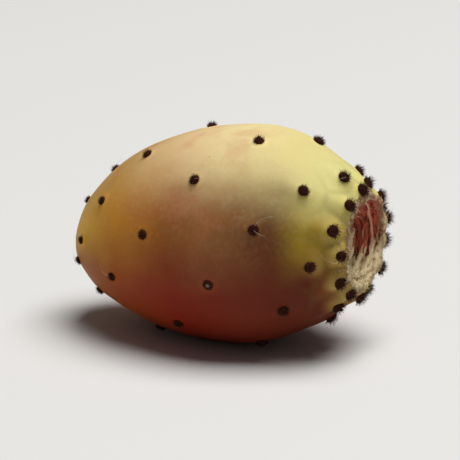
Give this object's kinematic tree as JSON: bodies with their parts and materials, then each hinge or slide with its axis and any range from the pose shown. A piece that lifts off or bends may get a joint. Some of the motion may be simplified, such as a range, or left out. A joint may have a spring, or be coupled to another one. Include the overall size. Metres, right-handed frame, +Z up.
{
  "type": "prickly pear fruit",
  "caption": "Egg-shaped cactus fruit lying on its side, with spirals of small bristly areoles and a sunken scar in its crown.",
  "frame": {"origin": "centre of the small flat spot that the fruit rests on, under its centre of mass", "axes": "+X along the fruit from the stem end to the crown, +Z up, away from the surface that it lies on"},
  "size_m": [0.0761, 0.0546, 0.0524],
  "materials": {
    "fruit_skin": "waxy, satin"
  },
  "bodies": {
    "root": {"prickly_pear": "fruit_skin"}
  },
  "joints": []
}
